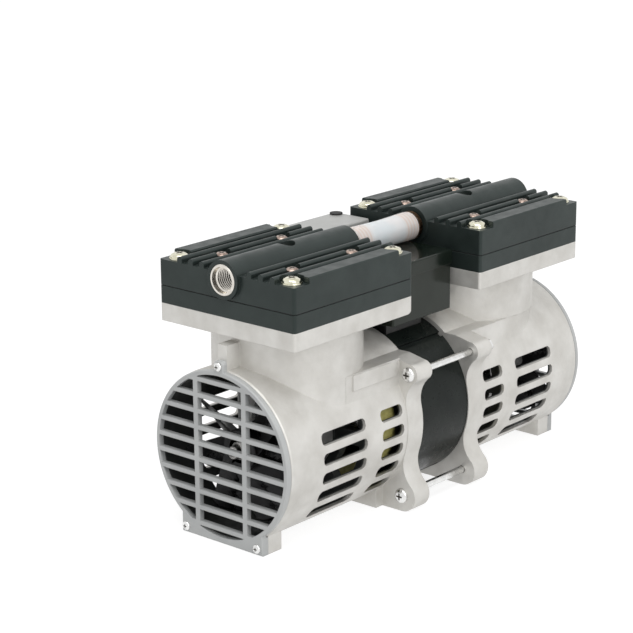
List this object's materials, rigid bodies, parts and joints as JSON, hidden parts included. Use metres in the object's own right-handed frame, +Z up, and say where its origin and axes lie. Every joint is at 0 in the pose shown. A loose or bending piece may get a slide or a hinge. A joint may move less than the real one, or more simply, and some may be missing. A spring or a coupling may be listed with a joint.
{
  "type": "diaphragm vacuum pump",
  "caption": "Twin-head oil-free diaphragm vacuum pump: a central motor, a finned black head over a cast crank housing at each end, linked by a short hose.",
  "frame": {"origin": "on the plane of the feet, midway between the two pump units, under the shaft", "axes": "+X along the shaft from the front unit to the rear unit, +Z up"},
  "size_m": [0.2572, 0.1045, 0.1487],
  "materials": {
    "cast_aluminium": "bead-blasted raw die casting, matte",
    "grille_paint": "mid-grey satin paint",
    "head_plastic": "satin black glass-filled nylon",
    "stator_paint": "black varnished laminations, semi-gloss",
    "coil_tape": "yellow insulating tape over copper coils",
    "bearing_steel": "ground steel",
    "fan_plastic": "black nylon",
    "crank_iron": "machined cast iron",
    "rod_aluminium": "cast, machined on the faces",
    "zinc_steel": "bright zinc plate",
    "yellow_zinc_steel": "pale yellow zinc plate",
    "copper_tint_steel": "copper-toned plate",
    "diaphragm_rubber": "fabric-reinforced rubber",
    "gasket_rubber": "black rubber sheet",
    "spring_steel": "polished valve steel",
    "nickel_brass": "nickel-plated brass",
    "copper_brass": "bare brass, darkened",
    "clear_silicone": "milky translucent silicone, smooth",
    "rotor_steel": "laminated steel",
    "bracket_steel": "black paint",
    "black_gloss_plastic": "gloss black moulding",
    "terminal_plastic": "white nylon",
    "capacitor_plastic": "light grey case"
  },
  "bodies": {
    "pump": {"front_housing": "cast_aluminium", "front_grille": "grille_paint", "front_grille_screws": "zinc_steel", "front_winding": "coil_tape", "front_main_bearing": "bearing_steel", "front_diaphragm": "diaphragm_rubber", "front_valve_plate": "head_plastic", "front_suction_reed": "spring_steel", "front_pressure_reed": "spring_steel", "front_head_gasket": "gasket_rubber", "front_head_cover": "head_plastic", "front_port_insert": "nickel_brass", "front_hose_nipple": "copper_brass", "front_corner_screws": "yellow_zinc_steel", "front_inner_screws": "copper_tint_steel", "rear_housing": "cast_aluminium", "rear_grille": "grille_paint", "rear_grille_screws": "zinc_steel", "rear_winding": "coil_tape", "rear_main_bearing": "bearing_steel", "rear_diaphragm": "diaphragm_rubber", "rear_valve_plate": "head_plastic", "rear_suction_reed": "spring_steel", "rear_pressure_reed": "spring_steel", "rear_head_gasket": "gasket_rubber", "rear_head_cover": "head_plastic", "rear_port_insert": "nickel_brass", "rear_hose_nipple": "copper_brass", "rear_corner_screws": "yellow_zinc_steel", "rear_inner_screws": "copper_tint_steel", "stator_core": "stator_paint", "through_bolts": "zinc_steel", "bolt_nuts": "zinc_steel", "link_hose": "clear_silicone", "junction_bracket": "bracket_steel", "junction_box": "black_gloss_plastic", "junction_lid": "black_gloss_plastic", "lid_screws": "zinc_steel", "terminal_block": "terminal_plastic", "capacitor": "capacitor_plastic", "capacitor_plug": "gasket_rubber"},
    "rotor": {"shaft": "bearing_steel", "rotor_core": "rotor_steel", "rotor_end_rings": "rod_aluminium", "front_fan": "fan_plastic", "rear_fan": "fan_plastic", "front_eccentric": "crank_iron", "rear_eccentric": "crank_iron"},
    "front_rod": {"front_connecting_rod": "rod_aluminium", "front_rod_bearing": "bearing_steel", "front_clamp_disc": "rod_aluminium", "front_clamp_screw": "zinc_steel"},
    "rear_rod": {"rear_connecting_rod": "rod_aluminium", "rear_rod_bearing": "bearing_steel", "rear_clamp_disc": "rod_aluminium", "rear_clamp_screw": "zinc_steel"}
  },
  "joints": [
    {"name": "rotor_spin", "type": "hinge", "parent": "pump", "child": "rotor", "pos_m": [0, 0, 0.0464], "axis": [1, 0, 0], "continuous": true},
    {"name": "front_rod_swing", "type": "hinge", "parent": "rotor", "child": "front_rod", "pos_m": [-0.0751, 0, 0.0494], "axis": [1, 0, 0], "continuous": true, "deforming": ["front_diaphragm"]},
    {"name": "rear_rod_swing", "type": "hinge", "parent": "rotor", "child": "rear_rod", "pos_m": [0.0751, 0, 0.0434], "axis": [1, 0, 0], "continuous": true, "deforming": ["rear_diaphragm"]}
  ],
  "couplings": [
    {"joint": "front_rod_swing", "follows": "rotor_spin", "ratio": -1},
    {"joint": "rear_rod_swing", "follows": "rotor_spin", "ratio": -1}
  ]
}
